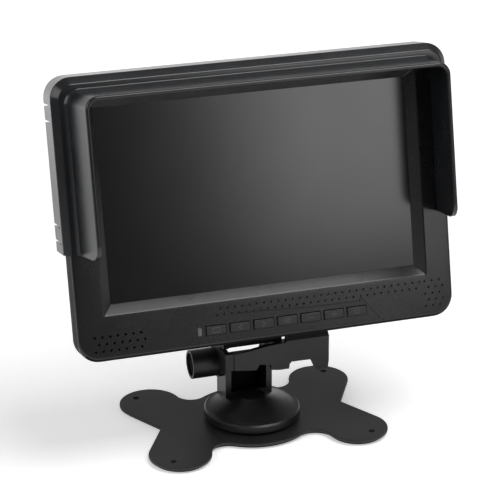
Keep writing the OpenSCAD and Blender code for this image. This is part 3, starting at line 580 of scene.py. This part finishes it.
# The sides are duller than the front, and the slope under the screen is coloured four times
# lighter than the front, which is a painted highlight
side_abs = surface("side_abs", (0.0095, 0.0095, 0.010), 0.65, 0.0005, 0.4, specular=0.2)
painted_highlight_slope = surface("painted_highlight_slope", (0.034, 0.034, 0.033), 0.30, 0.0004, 0.10)
bezel.data.materials.clear()
for finish in (housing_abs, side_abs, painted_highlight_slope, painted_shade_nylon):
    bezel.data.materials.append(finish)
outwards, rounding_top = Vector((0, -math.cos(lean), math.sin(lean))), 0.0625
for face in bezel.data.polygons:
    facing, up = face.normal.dot(outwards), face.normal.z
    slanted = 0.6 < facing < 0.85 and face.area > 1e-4
    # The lower rounding's downward faces are painted near black: painted shade under the housing
    if up < -0.2 and facing > -0.5 and face.center.z < rounding_top:
        face.material_index = 3
    elif facing < 0.05:
        face.material_index = 1
    elif slanted and up > 0 and face.normal.x > -0.3:
        face.material_index = 2
soften(bezel, 0)
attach(bezel, "monitor")
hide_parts("front_bezel")

# Screen: a thin glass over the panel, which is off and so nearly black, with a soft
# anti-glare gloss. Behind it is the pressed frame of the display module.
dark_screen = surface(
    "dark_screen", (0.004, 0.004, 0.004), 0.19, 0.0002, 0.0, rough_spread=0.02, shade=0.1
)
dress("screen_glass", dark_screen)
module_frame = surface(
    "module_frame", (0.55, 0.56, 0.58), 0.4, 0.0006, 0.2, metal=1.0, shade=0.1
)
dress("display_module", module_frame)

# Boards and loudspeaker: green glass-fibre boards with their parts, and a small
# loudspeaker whose dark cloth lies behind the round holes.
board_green = surface("board_green", (0.02, 0.12, 0.05), 0.45, 0.0015, 0.3, shade=0.5)
dress("main_board", board_green)
dress("button_board", board_green)
dress("speaker", surface("speaker_cloth", (0.02, 0.02, 0.02), 0.85, 0.0004, 0.9, shade=0.5))

# Buttons: seven moulded caps in a row, each a bar with soft edges that stands a little
# out of the bezel and carries a printed sign.
cap_plastic = surface("cap_plastic", (0.011, 0.011, 0.0115), 0.42, 0.0004, 0.25)
print_grey = surface("print_grey", (0.085, 0.085, 0.085), 0.6, 0.0003, 0.1, shade=0.15)
frame_sign = (-1.9, -1.1), (1.9, -1.1), (1.9, 1.1), (-1.9, 1.1), (-1.9, -1.1)
left_sign = (0.7, -1.2), (-0.7, 0), (0.7, 1.2)
right_sign = (-0.7, -1.2), (0.7, 0), (-0.7, 1.2)
menu_sign = [((-1.5, y), (1.5, y)) for y in (-0.9, 0, 0.9)]
minus_sign, plus_stem = ((-1.3, 0), (1.3, 0)), ((0, -1.3), (0, 1.3))
ring_sign = [
    (1.2 * math.sin(math.radians(a)), 1.2 * math.cos(math.radians(a))) for a in range(40, 321, 28)
]
power_stem = (0, 0.3), (0, 1.5)
signs = (
    [frame_sign], [left_sign], [right_sign], menu_sign, [minus_sign], [minus_sign, plus_stem],
    [power_stem, ring_sign],
)
sign_half, sign_low, sign_high, sign_past = 0.16, 0.58, 0.62, 0.12
for number in range(1, 8):
    sign = bmesh.new()
    middle = Vector((button_x[number - 1], button_y))
    for path in signs[number - 1]:
        for start, end in zip(path, path[1:]):
            a, b = middle + Vector(start), middle + Vector(end)
            stroke(sign, a, b, sign_half, sign_low, sign_high, past=sign_past)
    sign = keep(sign, f"sign_{number}")
    sign.data.materials.append(print_grey)
    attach(sign, f"button_{number}")
    cap = plain_copy(f"button_{number}", f"cap_{number}")
    soften(cap, 0.00035, steps=3)
    cap.data.materials.append(cap_plastic)
    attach(cap, f"button_{number}")
    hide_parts(f"button_{number}")

# Indicator: a clear moulded window beside the first button, with a lamp on the board
# behind it.
dress("led_window", surface("milky_window", (0.10, 0.105, 0.11), 0.3, 0.0006, 0.1, shade=0.08))

# Rear cover: the back half of the housing, drawn in on all sides, with vents, the slot
# for the tongue, wells for the screws and openings for the sockets.
rear = plain_copy("rear_cover", "rear_shell")
back_low, back_high, housing_deep = -64.35, 48.65, 33


def back_edge(edge):
    """True for the long edges round the flat back"""
    for v in edge.verts:
        p = v.co * 1000 - screen_middle
        y = p.y * math.sin(lean) + p.z * math.cos(lean)
        z = -p.y * math.cos(lean) + p.z * math.sin(lean)
        at_back = abs(z + housing_deep) < 0.06
        near_rim = abs(p.x) > 68 or y > back_high - 0.2 or y < back_low + 0.2
        if not (at_back and near_rim):
            return False
    return True


soften(rear, 0.0008, steps=3, chosen=back_edge)
rear_abs = surface("rear_abs", (0.0095, 0.0095, 0.010), 0.65, 0.0005, 0.4, specular=0.2)
rear.data.materials.append(rear_abs)
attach(rear, "monitor")
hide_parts("rear_cover")

# Sockets and screws: a power jack, a picture socket in a bright shell, two round
# sockets, and four black screws deep in their wells.
dress("dc_jack", surface("socket_black", (0.012, 0.012, 0.013), 0.35, 0.0005, 0.15))
socket_shell = surface(
    "socket_shell", (0.62, 0.62, 0.64), 0.3, 0.0005, 0.1, metal=1.0, shade=0.06
)
dress("hdmi_socket", socket_shell)
dress("av_sockets", surface("av_black", (0.014, 0.014, 0.015), 0.4, 0.0005, 0.15))
dress("housing_screws", surface("black_screw", (0.05, 0.05, 0.052), 0.4, 0.0003, 0.2, metal=0.8))

# Sun hood: one thin ABS moulding, a skirt that clips round the housing, a chamfered
# flange over the bezel's edge, and the visor that leans in a little to its rim.
hood_low, tip = -20.0, 9.0
visor_half, visor_top, visor_start, visor_end = 90.2, 54.85, 2.4, 29.4
leans_in, leans_down = 3, 0.4


def arch(half, top, radius, z, low=hood_low, steps=8):
    """The hood's outline at one depth: up the left side, across the top, down the right"""
    points = [on_monitor(-half, low, z)]
    for cx, start in ((-half + radius, 180), (half - radius, 90)):
        for i in range(steps + 1):
            a = math.radians(start - 90 * i / steps)
            y = top - radius + radius * math.sin(a)
            points.append(on_monitor(cx + radius * math.cos(a), y, z))
    return points + [on_monitor(half, low, z)]


def visor_low(z):
    """How low the visor's sides reach at a depth: their front corners are rounded"""
    past = z - (visor_end - tip)
    return hood_low if past <= 0 else hood_low + tip - math.sqrt(max(tip**2 - past**2, 0))


def visor(inset, z, radius):
    """One outline of the visor, inset from its outer face"""
    share = (z - visor_start) / (visor_end - visor_start)
    half_now = visor_half - leans_in * share - inset
    top_now = visor_top - leans_down * share - inset
    return arch(half_now, top_now, radius, z, visor_low(z))


side_to_top = 35.35


def skirt(half, radius, z):
    """One outline of the skirt or the flange, which step in at the top as at the sides"""
    return arch(half, half - side_to_top, radius, z)


depths = [4.4, 12, 20.4, 22.6, 24.6, 26.3, 27.6, 28.4]
profile = [
    skirt(*row)
    for row in (
        (94.4, 10.4, -16.4), (94.6, 10.4, -16.6), (96.7, 10, -16.6), (97, 10, -16.3),
        (97, 10, -1.45), (96.9, 9.9, -1.0), (96.65, 9.65, -0.65), (94.0, 7, 2.0),
        (93.65, 6.65, 2.3), (93.2, 6.2, 2.4), (91.8, 7.6, 2.4), (91.3, 7.1, 2.7),
        (90.35, 6.2, 3.7),
    )
]
outer = [visor(0, z, 6) for z in depths]
rim_out = [visor(0.22, 28.95, 5.8), visor(0.62, 29.28, 5.4)]
rim = [visor(1.05, 29.38, 5)]
rim_in = [visor(1.48, 29.28, 4.6), visor(1.88, 28.95, 4.2)]
inner = [visor(2.1, z, 4) for z in reversed(depths)]
back_rows = (88.1, 4, 0.7), (88.4, 4, 0.4), (94.0, 10, 0.4), (94.4, 10.4, 0.0)
back = [skirt(*row) for row in back_rows]
rings = profile + outer + rim_out + rim + rim_in + inner + back
shape, rows = skin(rings, around=False)
# The two lower ends: one face over skirt and flange, then a strip along the visor's wall
first_row, pairs = len(profile), len(depths) + len(rim_out)
last_row = first_row + 2 * pairs
for end in (0, -1):
    edge = [row[end] for row in rows]
    shape.faces.new(edge[: first_row + 1] + edge[last_row:])
    for k in range(pairs):
        a, b = edge[first_row + k], edge[first_row + k + 1]
        c, d = edge[last_row - k - 1], edge[last_row - k]
        shape.faces.new((a, b, c, d) if c is not b else (a, b, d))
hood = keep(shape, "moulded_hood")
# Two slits free each clip finger, two fingers a side
slit_step, slit_half = 3.8, 0.55
slits = [
    (x0, x1, middle - slit_half, middle + slit_half, -18, -3.6)
    for finger in (45.05, -11.0)
    for middle in (finger - slit_step, finger + slit_step)
    for x0, x1 in ((-99, -92), (92, 99))
]
cut(hood, [bars("slits", slits)])
soften(hood, 0)
hood_abs = surface(
    "hood_abs", (0.0165, 0.0175, 0.0195), 0.24, 0.0004, 0.12, rough_spread=0.05
)
hood.data.materials.append(hood_abs)
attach(hood, "hood")
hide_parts("sun_hood")
